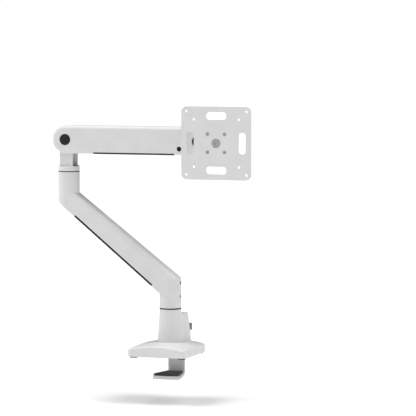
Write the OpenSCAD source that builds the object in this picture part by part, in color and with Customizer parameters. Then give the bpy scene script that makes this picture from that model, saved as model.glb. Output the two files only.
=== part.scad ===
// Desk-clamp monitor arm: clamp base with column, bent lower strut, spring arm, tilting head.
// Row frame, in mm: origin on the column axis at the desk top, +X to the viewer's right,
// +Y to the back of the desk, +Z up. The user sits on the -Y side.

/* [Base] */
// Width of the base, side to side
base_w = 100; // [92:1:116]
// Base length in front of the column axis
base_front = 71; // [62:1:84]
// Base length behind the column axis
base_back = 33; // [33:0.5:34]
// Height of the middle of the domed base cover above the desk
base_h = 21.5; // [19:0.5:25]
// Radius of the base corners, seen from above
base_corner_r = 9; // [6:1:14]
// Thickness of the steel base plate
plate_t = 5; // [4.5:0.5:5]

/* [Column] */
// Outside radius of the column at its top
column_r = 17.6; // [17.5:0.1:19]
// Sideways growth of the column wall per millimetre down
column_taper = 0.068; // [0.03:0.005:0.09]
// Height of the column top above the desk
column_top = 73.3; // [71:0.1:75]
// Radius of the steel post that the strut turns on
post_r = 11; // [9:0.5:11.5]
// Distance of the rear cover's top below the column's top
rear_drop = 8.8; // [7.4:0.1:9.9]
// Distance of the rear cover's back at its top behind the base
rear_reach = 5.3; // [5:0.1:8]

/* [Clamp] */
// Desk thickness that the clamp is set to
desk_t = 30; // [16:1:44]
// Furthest reach of the jaw in front of the column axis
jaw_front = 27; // [20:1:40]
// Width of the jaw at its front
jaw_w = 44; // [36:1:60]
// Thickness of the jaw's steel
jaw_t = 5.5; // [4:0.5:6]
// Radius of the clamp screw
clamp_screw_r = 4; // [3:0.5:4]

/* [Strut] */
// Level distance from the column axis to the elbow axis
strut_reach = 175; // [150:1:200]
// Radius of the strut's two upright ends
strut_r = 17.5; // [17:0.1:19]
// Slope of the strut's upper face in degrees
strut_top_slope = 37.5; // [36:0.1:39]
// Slope of the strut's underside in degrees
strut_low_slope = 39.4; // [38:0.1:40]
// Height above the strut's foot where the upper face crosses the column axis
strut_top_rise = 60.8; // [60:0.1:66]
// Height above the strut's foot where the underside's line crosses the column axis
strut_low_rise = 13; // [10:0.1:14]
// Radius along the strut's upper edges
strut_edge_r = 12.5; // [6:0.5:14]
// Radius along the strut's lower edges
strut_low_edge_r = 1.5; // [1:0.5:4]
// Length of the elbow's upright end above the line of the upper face
elbow_rise = 21.42; // [16:0.01:24]

/* [Arm] */
// Distance between the arm's two lift pins
arm_len = 227; // [205:1:260]
// Height of the lift pin above the turret's disc
pin_rise = 43.4; // [43:0.1:50]
// Outside width of the arm housing
arm_w = 36; // [36:0.5:40]
// Half of the arm housing's height
arm_half_h = 23; // [23:0.5:25]
// Distance of the link pins below the inside of the arm's roof
link_drop = 7; // [7:0.1:7.5]
// Radius of the gas spring's cylinder
spring_r = 7; // [6:0.5:7]
// Space kept for the gas spring's swing above the arm's underside
spring_gap = 2; // [2:0.1:2.2]

/* [Head] */
// Distance from the arm's end pin to the pan axis
knuckle_reach = 46; // [46:1:56]
// Distance from the pan axis to the tilt axis
tilt_y = 38; // [38:0.5:46]
// Side of the square mounting plate
plate_w = 116; // [112:1:124]
// Thickness of the mounting plate
vesa_t = 2.8; // [2:0.1:4]
// Radius of the mounting holes for M4 screws
vesa_hole_r = 2.3; // [2.1:0.05:2.6]

/* [Hidden] */
$fn = 64;

white = [0.87, 0.87, 0.86];
dark = [0.16, 0.16, 0.17];
rubber = [0.1, 0.1, 0.11];
steel = [0.62, 0.63, 0.65];
grey = [0.42, 0.43, 0.45];

plate_z = 2;
plate_top = plate_z + plate_t;
cover_wall = 2.6;
dome_across_r = 200;
dome_along_r = 1145;
base_mid_y = -(base_front - base_back) / 2;
pad_x = base_w / 2 - 9.6;
post_bolt_r = 4;

taper_z = column_top - 7.3;
column_low_r = column_r + (taper_z - plate_top) * column_taper;
side_gap = 0.12;
seam_y = post_r + 1;
rear_top = column_top - rear_drop;
rear_y = base_back + rear_reach;
rear_slope_top = rear_top - 2.5;
rear_slope_low = rear_top - 36.5;
rear_low_y = rear_y + 6.5;
column_wall = 3;
rear_wall = 2.5;
shelf_top = rear_top - 10;
shelf_t = 3.5;
key_r = 4.7;
clip_z = rear_top - 30.1;
clip_y = rear_low_y + 3.8;

spine_t = 5;
spine_y = base_back - spine_t;
spine_gap = 0.6;
spine_half = 13.6;
rib_in = spine_half - 1.6;
screw_y = spine_y - 5.5;
pad_t = 3;
jaw_top = -desk_t - pad_t;
nut_z = shelf_top - 30;
nut_h = 10;
nut_half = rib_in - 2;
nut_screw_x = 6.5;
screw_r = 2;
screw_gap = 0.05;

washer_t = 1.6;
swivel_washer_t = 2.2;
strut_z = column_top + swivel_washer_t;
strut_top_z = strut_z + strut_top_rise;
strut_low_z = strut_z + strut_low_rise;
elbow_top = strut_top_z + strut_reach * tan(strut_top_slope) + elbow_rise;
grub_z = strut_z + 18.5;
elbow_grub_z = elbow_top - 17;
grub_r = 2.5;
retainer_r = 3;
post_top = strut_z + 46.5;
groove_z = strut_z + 40.5;
beam_half = strut_r - 0.1;
strip_t = 3.6;
strip_x1 = -(strut_r + 9.5) / cos(strut_low_slope);
strip_x2 = -(strut_reach - 15) / cos(strut_low_slope);
strut_wall = 3.8;
bore_gap = 0.3;
bush_r = post_r + 2;

turret_z = elbow_top + washer_t;
turret_t = 8;
pin_z = turret_z + turret_t + pin_rise;
shaft_r = 10;
elbow_bush_r = shaft_r + 2;
lift_r = 4.5;
small_pin_r = 2.5;
wall_in = arm_w / 2 - 3.7;
cheek_out = wall_in - 0.8;
cheek_in = cheek_out - 5;
lug_r = 11;
arm_edge_r = 6;
arm_roof = 3.5;
arm_in_h = arm_half_h - arm_roof;
link_up = arm_in_h - link_drop;
link_half = cheek_in - 2.5;
spring_down = arm_half_h - spring_r - spring_gap;
cap_r = 9;
cap_t = 1.6;
cap_proud = 0.3;
arm_strip_t = 3;
arm_strip_x1 = 48;
arm_strip_x2 = arm_len - 40;
anchor_w = 12;
anchor_half_h = 6.5;
anchor_x = arm_strip_x2 + 3 + anchor_w / 2;
spring_x1 = 62;
rod_r = 4;
run_gap = 0.05;
lift_max = 40;
yoke_travel = spring_down * (1 - cos(lift_max)) / 2;
spring_line = -(spring_down - yoke_travel);
slot_half_h = small_pin_r + yoke_travel + 0.3;
slot_half_w = small_pin_r + 0.4;

pan_x = arm_len + knuckle_reach;
barrel_r = 14;
barrel_half = 16;
pan_r = 8;
ear_z = barrel_half + 1.2;
ear_t = 5;
tilt_r = 4;
flange_y = 9;
rotor_y = tilt_y + flange_y + 7;
hub_washer_t = 1.2;
hub_y = rotor_y + hub_washer_t;
hub_t = 4;
hub_bolt_r = 4;
hub_bolt_depth = 6.5;
hub_head_r = 7;
hub_screw_x = 20;
hub_screw_r = 1.5;
vesa_y = hub_y + hub_t;

// Column radius at a height, and the matching half width of the rear cover.
function column_at(z) = column_r + max(0, taper_z - z) * column_taper;

module round_rect(w, h, r) {
    square([w - 2 * r, h], center = true);
    square([w, h - 2 * r], center = true);
    for (x = [-1, 1], y = [-1, 1])
        translate([x * (w / 2 - r), y * (h / 2 - r)]) circle(r);
}

// Section whose top edge is at y = 0 with both top corners rounded.
module round_top(w, h, r) {
    translate([-w / 2, -h]) square([w, h - r]);
    translate([-w / 2 + r, -h]) square([w - 2 * r, h]);
    for (s = [-1, 1]) translate([s * (w / 2 - r), -r]) circle(r);
}

// Extrudes a section along +X: section x becomes Y and section y becomes Z.
module along_x(len) {
    rotate([90, 0, 90]) linear_extrude(len) children();
}

// Extrudes an X-Z outline along Y from y1 to y2.
module across_y(y1, y2) {
    translate([0, y2, 0]) rotate([90, 0, 0]) linear_extrude(y2 - y1) children();
}

// Cylinder with its axis along X, Y from a start point.
module rod_x(r, len) { rotate([0, 90, 0]) cylinder(r = r, h = len); }
module rod_y(r, len) { rotate([-90, 0, 0]) cylinder(r = r, h = len); }

// Places a child at the lift pin on the elbow axis, or at the arm's end pin.
module at_lift() { translate([-strut_reach, 0, pin_z]) children(); }
module at_end() { translate([arm_len - strut_reach, 0, pin_z]) children(); }
module at_pan() { translate([pan_x - strut_reach, 0, pin_z]) children(); }
module at_tilt() { translate([pan_x - strut_reach, -tilt_y, pin_z]) children(); }

module hex_recess(af, depth) { cylinder(r = af / sqrt(3), h = depth, $fn = 6); }

// ---------- base ----------

// Solid under the base's domed top: curved well across its width, slightly along its length.
module dome(inset) {
    rim = dome_along_r - 60;
    translate([0, 0, base_h - dome_along_r])
        rotate([0, -90, 0]) rotate([0, 0, -8]) rotate_extrude(angle = 16, $fn = 1440)
        intersection() {
            translate([dome_along_r - dome_across_r, 0])
                circle(r = dome_across_r - inset, $fn = 256);
            translate([rim, -base_w]) square([80, 2 * base_w]);
        }
}

module base_block(inset, low) {
    intersection() {
        translate([0, base_mid_y, low])
            linear_extrude(60)
            round_rect(base_w - 2 * inset, base_front + base_back - 2 * inset,
                base_corner_r - inset);
        dome(inset);
    }
}

// Upright outline of the rear extension in X-Z, grown outward by g.
module rear_front_outline(g, low, high) {
    half_low = column_at(low) - side_gap + g;
    half_high = column_at(high) - side_gap + g;
    polygon([[-half_low, low], [half_low, low], [half_high, high], [-half_high, high]]);
}

// Side outline of the rear cover in Y-Z, shrunk inward by g at its back and top.
module rear_side_solid(g, front, low) {
    translate([-40, 0, 0])
        along_x(80)
        polygon([[front, low], [rear_low_y - g, low], [rear_low_y - g, rear_slope_low],
            [rear_y - g, rear_slope_top], [rear_y - g, rear_top - g], [front, rear_top - g]]);
}

// Room for the column and the rear cover through the base cover.
module column_room() {
    translate([0, 0, plate_top])
        cylinder(r1 = column_low_r + 0.4, h = taper_z - plate_top, r2 = column_r + 0.4);
    across_y(0, 60) rear_front_outline(0.4, 0, taper_z - 6);
}

// Room for the clamp's spine through the base plate and the base cover.
module spine_room() {
    translate([-spine_half - spine_gap, spine_y - spine_gap, 0])
        cube([2 * (spine_half + spine_gap), 30, 30]);
}

module boss_places() {
    for (x = [-1, 1], y = [-base_front + 17.5, base_back - 20])
        translate([x * (base_w / 2 - 15), y, 0]) children();
}

module base_plate() {
    color(steel)
    difference() {
        translate([0, base_mid_y, plate_z])
            linear_extrude(plate_t)
            round_rect(base_w - 2 * cover_wall - 0.6, base_front + base_back - 2 * cover_wall - 0.6,
                base_corner_r - cover_wall - 0.3);
        pad_shapes(plate_z - 1, 2);
        boss_places() {
            cylinder(r = screw_r + 0.1, h = 20);
            translate([0, 0, plate_z])
                cylinder(r1 = 2 * screw_r + 0.3, r2 = screw_r + 0.1, h = screw_r + 0.2);
        }
        cylinder(r = post_bolt_r + 0.1, h = 20);
        translate([0, 0, plate_z + 1])
            cylinder(r1 = 2 * post_bolt_r + 0.1, r2 = post_bolt_r + 0.1, h = post_bolt_r);
        spine_room();
        translate([0, screw_y, 0]) cylinder(r = clamp_screw_r + 1, h = 20);
    }
}

module base_cover() {
    color(white)
    difference() {
        union() {
            difference() {
                base_block(0, plate_z);
                base_block(cover_wall, plate_z - 1);
            }
            intersection() {
                boss_places() translate([0, 0, plate_top]) cylinder(r = 4.5, h = 30);
                base_block(1, plate_z);
            }
        }
        column_room();
        boss_places() translate([0, 0, plate_top - 1]) cylinder(r = screw_r + screw_gap, h = 6);
        spine_room();
    }
}

module base_screws() {
    color(steel)
    boss_places()
        difference() {
            union() {
                translate([0, 0, plate_z])
                    cylinder(r1 = 2 * screw_r + 0.2, r2 = screw_r, h = screw_r + 0.2);
                translate([0, 0, plate_z + 1]) cylinder(r = screw_r, h = plate_t + 3.5);
            }
            translate([0, 0, plate_z - 1]) hex_recess(2.5, 2.6);
        }
}

module pad_shapes(low, h) {
    for (x = [-1, 1], y = [-base_front + 12, base_back - 9.3])
        translate([x * pad_x, y + (y < 0 ? -3.5 : 0), low])
            linear_extrude(h) round_rect(13, y < 0 ? 9 : 11, 4);
    translate([0, 0, low]) cylinder(r = 20, h = h);
}

module desk_pads() {
    color(rubber) pad_shapes(0, plate_z + 1);
}

module post() {
    color(steel)
    difference() {
        translate([0, 0, plate_top]) cylinder(r = post_r, h = post_top - plate_top);
        translate([0, 0, groove_z - 3.25])
            difference() {
                cylinder(r = post_r + 1, h = 6.5);
                cylinder(r = post_r - 1.5, h = 6.5);
            }
        translate([0, 0, plate_top - 1]) cylinder(r = post_bolt_r, h = 26);
    }
}

module post_bolt() {
    color(steel)
    difference() {
        union() {
            translate([0, 0, plate_z + 1])
                cylinder(r1 = 2 * post_bolt_r, r2 = post_bolt_r, h = post_bolt_r);
            translate([0, 0, plate_z + 3]) cylinder(r = post_bolt_r, h = plate_t + 19);
        }
        translate([0, 0, plate_z]) hex_recess(5, 4);
    }
}

// Column: round shell with a closed top, two inner ribs and the clamp screw's shelf.
module column_shell() {
    rotate_extrude($fn = 96)
        polygon([[column_low_r - column_wall, plate_top], [column_low_r, plate_top],
            [column_r, taper_z], [column_r, column_top], [post_r + bore_gap, column_top],
            [post_r + bore_gap, column_top - 3], [column_r - column_wall, column_top - 3],
            [column_r - column_wall, taper_z]]);
}

module column() {
    color(white)
    difference() {
        union() {
            difference() {
                union() {
                    column_shell();
                    difference() {
                        across_y(0, seam_y) rear_front_outline(0, plate_top, rear_top);
                        translate([0, 0, plate_top - 1])
                            cylinder(r1 = column_low_r - 1.5, r2 = column_r - 1.5,
                                h = taper_z - plate_top + 1);
                    }
                }
                translate([-40, seam_y, 0]) cube([80, 60, rear_top]);
            }
            for (s = [-1, 1])
                translate([s * (rib_in + 1.5) - 1.5, 8, plate_top])
                    cube([3, spine_y - 9, shelf_top - plate_top]);
            intersection() {
                for (s = [-1, 1])
                    translate([(s - 1) * column_low_r / 2 + s * rib_in, 8, plate_top])
                        cube([column_low_r, seam_y - 8, shelf_top - plate_top]);
                across_y(0, 60) rear_front_outline(-1, 0, taper_z - 6);
            }
            translate([-rib_in - 2, post_r + 0.6, shelf_top - shelf_t])
                cube([2 * rib_in + 4, spine_y - 1.6 - post_r, shelf_t]);
        }
        translate([0, screw_y, shelf_top - 14.5])
            cylinder(r = clamp_screw_r + run_gap, h = 20);
    }
}

// Rear cover over the clamp's screw and spine, with a hole for the hex key in its top.
module rear_cover() {
    color(white)
    difference() {
        union() {
            intersection() {
                across_y(seam_y, 60) rear_front_outline(0, plate_top, rear_top);
                rear_side_solid(0, seam_y, plate_top);
            }
            intersection() {
                across_y(base_back + 0.4, 60) rear_front_outline(0, 3, plate_top + 1);
                rear_side_solid(0, seam_y, 3);
            }
        }
        intersection() {
            across_y(seam_y - 1, 60) rear_front_outline(-rear_wall, 0, rear_top);
            rear_side_solid(rear_wall, seam_y - 1, 0);
        }
        translate([0, screw_y, rear_top - 10]) cylinder(r = key_r, h = 20);
    }
}

module cable_clip() {
    color(grey)
    difference() {
        translate([0, 0, clip_z]) linear_extrude(11)
            difference() {
                translate([0, clip_y - 2.3]) round_rect(38, 17, 3);
                translate([0, clip_y]) round_rect(32, 6.4, 1.5);
                translate([-3.5, clip_y + 1]) square([7, 10]);
            }
        translate([-40, 0, 0])
            along_x(80)
            polygon([[seam_y, 0], [rear_low_y, 0], [rear_low_y, rear_slope_low],
                [rear_y, rear_slope_top], [rear_y, 90], [seam_y, 90]]);
    }
}

module swivel_washer() {
    color(dark)
    translate([0, 0, column_top])
        difference() {
            cylinder(r = column_r - 0.15, h = swivel_washer_t);
            translate([0, 0, -1]) cylinder(r = post_r + bore_gap, h = swivel_washer_t + 2);
        }
}

// ---------- clamp ----------

// Jaw plan outline with a slightly bowed front, shrunk by g.
module jaw_plan(g, back) {
    half = jaw_w / 2;
    intersection() {
        polygon([[-spine_half + g, back], [-spine_half + g, spine_y - 1], [-half + g, -14],
            [-half + g, -60], [half - g, -60], [half - g, -14], [spine_half - g, spine_y - 1],
            [spine_half - g, back]]);
        translate([0, 78 - jaw_front]) circle(r = 78 - g, $fn = 128);
    }
}

// The two screws that hold the nut, on the spine's inner face.
module nut_screw_places() {
    for (s = [-1, 1])
        translate([s * nut_screw_x, spine_y, nut_z + nut_h / 2 + s * 2.5]) children();
}

// Side outline of the clamp bracket in Y-Z, with a rounded bend behind the jaw.
module bracket_side() {
    difference() {
        union() {
            translate([-60, jaw_top - jaw_t]) square([spine_y + 57, jaw_t]);
            translate([spine_y, jaw_top]) square([spine_t, nut_z + nut_h + 3.5 - jaw_top]);
            translate([spine_y - 4, jaw_top - jaw_t]) square([spine_t + 4, jaw_t + 3]);
        }
        translate([spine_y - 3, jaw_top + 3]) circle(r = 3);
        translate([spine_y - 5, jaw_top]) square([2, 10]);
        translate([spine_y - 5, jaw_top + 3]) square([5, 10]);
        translate([base_back - 8, jaw_top - jaw_t])
            difference() {
                square([9, 8]);
                translate([0, 8]) circle(r = 8);
            }
    }
}

module clamp_bracket() {
    color(white)
    difference() {
        intersection() {
            translate([-40, 0, 0]) along_x(80) bracket_side();
            translate([0, 0, -100]) linear_extrude(200) jaw_plan(0, 60);
        }
        nut_screw_places() {
            translate([0, -1, 0]) rod_y(screw_r + screw_gap, 10);
            translate([0, spine_t - screw_r - 0.2, 0])
                rotate([-90, 0, 0])
                cylinder(r1 = screw_r + screw_gap, r2 = 2 * screw_r + 0.25, h = screw_r + 0.2);
        }
    }
}

module jaw_pad() {
    color(rubber)
    translate([0, 0, jaw_top]) linear_extrude(pad_t)
        difference() {
            jaw_plan(1, spine_y - 6);
            translate([-40, spine_y - 6.5]) square([80, 40]);
        }
}

module clamp_nut() {
    color(steel)
    difference() {
        translate([-nut_half, screw_y - 6.5, nut_z]) cube([2 * nut_half, 12, nut_h]);
        translate([0, screw_y, nut_z - 1]) cylinder(r = clamp_screw_r + run_gap, h = nut_h + 2);
        nut_screw_places() translate([0, -6, 0]) rod_y(screw_r + screw_gap, 10);
    }
}

module nut_screws() {
    color(steel)
    nut_screw_places()
        difference() {
            union() {
                translate([0, -5.5, 0]) rod_y(screw_r, 5.5 + spine_t - 1);
                translate([0, spine_t - screw_r - 0.2, 0])
                    rotate([-90, 0, 0])
                    cylinder(r1 = screw_r, r2 = 2 * screw_r + 0.2, h = screw_r + 0.2);
            }
            translate([0, spine_t - 1.6, 0]) rotate([-90, 0, 0]) hex_recess(2.5, 5);
        }
}

module clamp_screw() {
    color(steel)
    translate([0, screw_y, 0])
        difference() {
            union() {
                translate([0, 0, plate_top + 1])
                    cylinder(r = clamp_screw_r, h = shelf_top + 0.5 - plate_top);
                translate([0, 0, shelf_top]) cylinder(r = clamp_screw_r + 2, h = 6.2);
            }
            translate([0, 0, shelf_top + 2.2]) hex_recess(6, 10);
        }
}

// ---------- strut ----------

// Everything under the strut's upper face, with its long edges rounded.
module under_top_face() {
    translate([0, 0, strut_top_z]) rotate([0, strut_top_slope, 0])
        translate([-400, 0, 0]) along_x(600) round_top(2 * strut_r + 0.2, 300, strut_edge_r);
}

// Everything above the strut's underside, with its long edges rounded.
module above_low_face() {
    translate([0, 0, strut_low_z]) rotate([0, strut_low_slope, 0])
        translate([-400, 0, 0]) along_x(600)
        rotate(180) round_top(2 * strut_r + 0.2, 400, strut_low_edge_r);
}

// A box on the underside of the strut, measured along its slope.
module low_face_box(x1, x2, half, z1, z2) {
    translate([0, 0, strut_low_z]) rotate([0, strut_low_slope, 0])
        translate([x2, -half, z1]) cube([x1 - x2, 2 * half, z2 - z1]);
}

module strut_shape() {
    elbow_low_z = strut_low_z + (strut_reach - strut_r) * tan(strut_low_slope) - 20;
    intersection() {
        translate([0, 0, strut_z]) cylinder(r = strut_r, h = 90);
        under_top_face();
    }
    intersection() {
        translate([-strut_reach, -beam_half, 40]) cube([strut_reach, 2 * beam_half, 400]);
        under_top_face();
        above_low_face();
    }
    intersection() {
        translate([-strut_reach, 0, elbow_low_z]) cylinder(r = strut_r, h = elbow_top - elbow_low_z);
        above_low_face();
    }
}

module strut_cavity() {
    roof = strut_top_z - 4 / cos(strut_top_slope);
    x1 = -(strut_r + 14.5);
    x2 = -(strut_reach - 24);
    half = strut_r - strut_wall;
    across_y(-half, half)
        polygon([[x1, roof - x1 * tan(strut_top_slope)], [x2, roof - x2 * tan(strut_top_slope)],
            [x2, strut_low_z - x2 * tan(strut_low_slope) - 8],
            [x1, strut_low_z - x1 * tan(strut_low_slope) - 8]]);
}

module strut() {
    color(white)
    difference() {
        strut_shape();
        translate([0, 0, strut_z - 1]) cylinder(r = bush_r, h = 35.5);
        translate([0, 0, strut_z + 30])
            cylinder(r = post_r + bore_gap, h = post_top + 1 - strut_z - 30);
        strut_cavity();
        low_face_box(strip_x1, strip_x2, 40, -20, strip_t);
        translate([-strut_reach, 0, elbow_top - 36]) cylinder(r = elbow_bush_r, h = 60);
        translate([-strut_reach, 0, elbow_top - 42]) cylinder(r = shaft_r + 0.4, h = 60);
        translate([0, 0, groove_z]) rod_x(retainer_r + screw_gap, 60);
        translate([bush_r - 1, 0, grub_z]) rod_x(grub_r + screw_gap, 60);
        translate([-strut_reach - 60, 0, elbow_grub_z])
            rod_x(grub_r + screw_gap, 62 - elbow_bush_r);
    }
}

module strut_cable_cover() {
    color(dark)
    difference() {
        intersection() {
            low_face_box(strip_x1 - 0.25, strip_x2 + 0.25, beam_half - 0.1, -1, strip_t);
            above_low_face();
        }
        low_face_box(strip_x1 + 1, strip_x1 - 14, 7, -5, 10);
        low_face_box(strip_x2 + 12, strip_x2 - 1, 7, -5, 10);
    }
}

module strut_bush() {
    color(dark)
    translate([0, 0, strut_z + 1])
        difference() {
            cylinder(r = bush_r, h = 33);
            translate([0, 0, -1]) cylinder(r = post_r + run_gap, h = 40);
        }
}

module swivel_tension_screw() {
    color(dark)
    translate([bush_r + 0.05, 0, grub_z])
        difference() {
            rod_x(grub_r, strut_r - bush_r - 0.55);
            translate([1.4, 0, 0]) rotate([0, 90, 0]) hex_recess(2.5, 10);
        }
}

module post_retaining_screw() {
    color(dark)
    translate([post_r - 1, 0, groove_z])
        difference() {
            rod_x(retainer_r, strut_r - post_r + 0.5);
            translate([3.6, 0, 0]) rotate([0, 90, 0]) hex_recess(3, 10);
        }
}

module elbow_bush() {
    color(dark)
    translate([-strut_reach, 0, elbow_top - 35])
        difference() {
            cylinder(r = elbow_bush_r, h = 34);
            translate([0, 0, -1]) cylinder(r = shaft_r + run_gap, h = 40);
        }
}

module elbow_washer() {
    color(dark)
    translate([-strut_reach, 0, elbow_top])
        difference() {
            cylinder(r = strut_r - 0.15, h = washer_t);
            translate([0, 0, -1]) cylinder(r = shaft_r + bore_gap, h = washer_t + 2);
        }
}

module elbow_tension_screw() {
    color(dark)
    translate([-strut_reach - strut_r + 0.5, 0, elbow_grub_z])
        difference() {
            rod_x(grub_r, strut_r - elbow_bush_r - 0.55);
            translate([-5, 0, 0]) rotate([0, 90, 0]) hex_recess(2.5, 7.6);
        }
}

// ---------- turret ----------

// Cheek outline round a lift pin with a lug for the link pin above it.
module cheek_outline(low) {
    polygon([[-lug_r, low], [lug_r, low], [lug_r, 0], [6, link_up], [-6, link_up], [-lug_r, 0]]);
    circle(r = lug_r);
    translate([0, link_up]) circle(r = 6);
}

module cheek_pair(low) {
    for (s = [-1, 1])
        translate([0, s * (cheek_in + cheek_out) / 2, 0])
            across_y(-(cheek_out - cheek_in) / 2, (cheek_out - cheek_in) / 2)
            cheek_outline(low);
}

module turret() {
    disc_z = turret_z + turret_t - pin_z;
    color(white)
    difference() {
        union() {
            translate([-strut_reach, 0, turret_z]) cylinder(r = strut_r, h = turret_t);
            at_lift() cheek_pair(disc_z - 1);
            at_lift() translate([-lug_r, -cheek_in - 1, disc_z - 1])
                cube([4, 2 * cheek_in + 2, -26 - disc_z + 1]);
        }
        translate([-strut_reach, 0, turret_z - 1]) cylinder(r = shaft_r, h = turret_t + 2);
        at_lift() translate([0, -30, 0]) rod_y(lift_r + run_gap, 60);
        at_lift() translate([0, -30, link_up]) rod_y(small_pin_r, 60);
        at_lift() translate([0, -30, -spring_down]) rod_y(small_pin_r, 60);
    }
}

module turret_shaft() {
    color(steel)
    translate([-strut_reach, 0, elbow_top - 41]) cylinder(r = shaft_r, h = 41 + washer_t + turret_t);
}

module link_pin_rear() {
    color(steel) at_lift() translate([0, -cheek_out, link_up]) rod_y(small_pin_r, 2 * cheek_out);
}

module spring_pin() {
    color(steel)
    at_lift() translate([0, -cheek_out, -spring_down]) rod_y(small_pin_r, 2 * cheek_out);
}

// ---------- arm ----------

module arm_section() { round_rect(arm_w, 2 * arm_half_h, arm_edge_r); }

// Half of a round end with the section's rounded edges, on the -X side of the pin.
module arm_round_end() {
    rotate([90, 0, 0]) rotate([0, 0, 90]) rotate_extrude(angle = 180, $fn = 96)
        intersection() {
            round_rect(2 * arm_half_h, arm_w, arm_edge_r);
            translate([0, -arm_w]) square([2 * arm_w, 2 * arm_w]);
        }
}

module arm_outer() {
    along_x(arm_len) arm_section();
    arm_round_end();
    translate([arm_len, 0, 0]) rotate([0, 0, 180]) arm_round_end();
}

module arm_housing() {
    color(white)
    at_lift()
        difference() {
            arm_outer();
            translate([0, -wall_in, -60]) cube([arm_len + 60, 2 * wall_in, 60 + arm_in_h]);
            translate([-60, -wall_in, -60]) cube([61, 2 * wall_in, 60]);
            translate([0, -wall_in, 0]) rod_y(arm_in_h, 2 * wall_in);
            translate([arm_len + 4, -wall_in, -1]) cube([60, 2 * wall_in, 60]);
            translate([arm_strip_x1, -50, -60])
                cube([arm_strip_x2 - arm_strip_x1, 100, 60 - arm_half_h + arm_strip_t]);
            for (x = [0, arm_len]) translate([x, 0, 0]) {
                translate([0, -40, 0]) rod_y(lift_r, 80);
                for (s = [-1, 1])
                    translate([0, s * (arm_w / 2 + 0.2), 0])
                        rotate([s * 90, 0, 0]) cylinder(r = cap_r + 0.3, h = cap_t - 0.1);
            }
            for (s = [-1, 1]) translate([anchor_x, s * arm_w / 2, spring_line])
                rotate([s * 90, 0, 0]) {
                    translate([0, 0, -0.1])
                        cylinder(r1 = 2 * screw_r + 0.2, r2 = screw_r, h = screw_r + 0.2);
                    cylinder(r = screw_r + screw_gap, h = 12);
                }
        }
}

module arm_cable_cover() {
    color(dark)
    at_lift()
        intersection() {
            along_x(arm_len) arm_section();
            translate([arm_strip_x1 + 0.25, -50, -60])
                cube([arm_strip_x2 - arm_strip_x1 - 0.5, 100, 60 - arm_half_h + arm_strip_t]);
        }
}

module lift_pins() {
    half = arm_w / 2 + 0.2 - cap_t;
    color(steel)
    for (x = [0, arm_len]) at_lift() translate([x, -half, 0]) rod_y(lift_r, 2 * half);
}

module pin_caps() {
    color(dark)
    for (x = [0, arm_len], s = [-1, 1])
        at_lift() translate([x, s * (arm_w / 2 + cap_proud), 0])
            rotate([s * 90, 0, 0]) cylinder(r = cap_r, h = cap_t);
}

module pivot_washers() {
    color(dark)
    for (x = [0, arm_len], s = [-1, 1])
        at_lift() translate([x, s * (cheek_out + wall_in) / 2, 0])
            difference() {
                translate([0, -0.35, 0]) rod_y(cap_r, 0.7);
                translate([0, -2, 0]) rod_y(lift_r + 0.1, 4);
            }
}

module spring_cylinder() {
    color(dark)
    at_lift() translate([spring_x1, 0, spring_line])
        difference() {
            rod_x(spring_r, arm_strip_x2 + 3 - spring_x1);
            translate([-1, 0, 0]) rod_x(rod_r + run_gap, 20);
            translate([10, 0, 0]) rod_x(spring_r - 1.5, arm_strip_x2 - spring_x1 - 16);
        }
}

module spring_anchor() {
    color(grey)
    at_lift() translate([anchor_x, 0, spring_line])
        difference() {
            translate([-anchor_w / 2, -wall_in, -anchor_half_h])
                cube([anchor_w, 2 * wall_in, 2 * anchor_half_h]);
            for (s = [-1, 1])
                translate([0, s * (wall_in + 1), 0]) rotate([s * 90, 0, 0])
                    cylinder(r = screw_r + screw_gap, h = 8);
        }
}

module anchor_screws() {
    color(dark)
    at_lift()
        for (s = [-1, 1]) translate([anchor_x, s * arm_w / 2, spring_line])
            rotate([s * 90, 0, 0])
                difference() {
                    union() {
                        cylinder(r1 = 2 * screw_r, r2 = screw_r, h = screw_r);
                        cylinder(r = screw_r, h = arm_w / 2 - wall_in + 6.3);
                    }
                    translate([0, 0, -1]) hex_recess(2.5, 2.8);
                }
}

module spring_rod() {
    yoke_h = slot_half_h + 2.2;
    yoke_w = slot_half_w + 2.5;
    color(steel)
    at_lift() translate([0, 0, spring_line]) {
        difference() {
            union() {
                translate([-yoke_w, -link_half, -yoke_h])
                    cube([2 * yoke_w, 2 * link_half, 2 * yoke_h]);
                translate([yoke_w - 1, 0, 0]) rod_x(rod_r, 105);
                translate([104, 0, 0]) rod_x(spring_r - 1.8, 6);
            }
            translate([-slot_half_w, -10, -slot_half_h + 0.01])
                cube([2 * slot_half_w, 20, 2 * slot_half_h - 0.02]);
        }
    }
}

module parallel_link() {
    color(grey)
    at_lift() translate([0, 0, link_up])
        difference() {
            union() {
                translate([0, 1 - link_half, -3.5]) cube([arm_len, 2 * link_half - 2, 7]);
                for (x = [0, arm_len]) translate([x, -link_half, 0]) rod_y(5, 2 * link_half);
            }
            for (x = [0, arm_len]) translate([x, -20, 0]) rod_y(small_pin_r + run_gap, 40);
        }
}

// ---------- end knuckle and head ----------

module end_knuckle() {
    color(white)
    at_end()
        difference() {
            union() {
                cheek_pair(-lug_r);
                translate([0, 0, -lug_r])
                    linear_extrude(2 * lug_r)
                    polygon([[6, -cheek_out], [12, -cheek_out], [24, -8], [knuckle_reach, -8],
                        [knuckle_reach, 8], [24, 8], [12, cheek_out], [6, cheek_out]]);
                translate([knuckle_reach, 0, -barrel_half])
                    cylinder(r = barrel_r, h = 2 * barrel_half);
            }
            translate([knuckle_reach, 0, -50]) cylinder(r = pan_r + run_gap, h = 100);
            translate([0, -30, 0]) rod_y(lift_r + run_gap, 60);
            translate([0, -30, link_up]) rod_y(small_pin_r, 60);
        }
}

module link_pin_front() {
    color(steel) at_end() translate([0, -cheek_out, link_up]) rod_y(small_pin_r, 2 * cheek_out);
}

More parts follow.
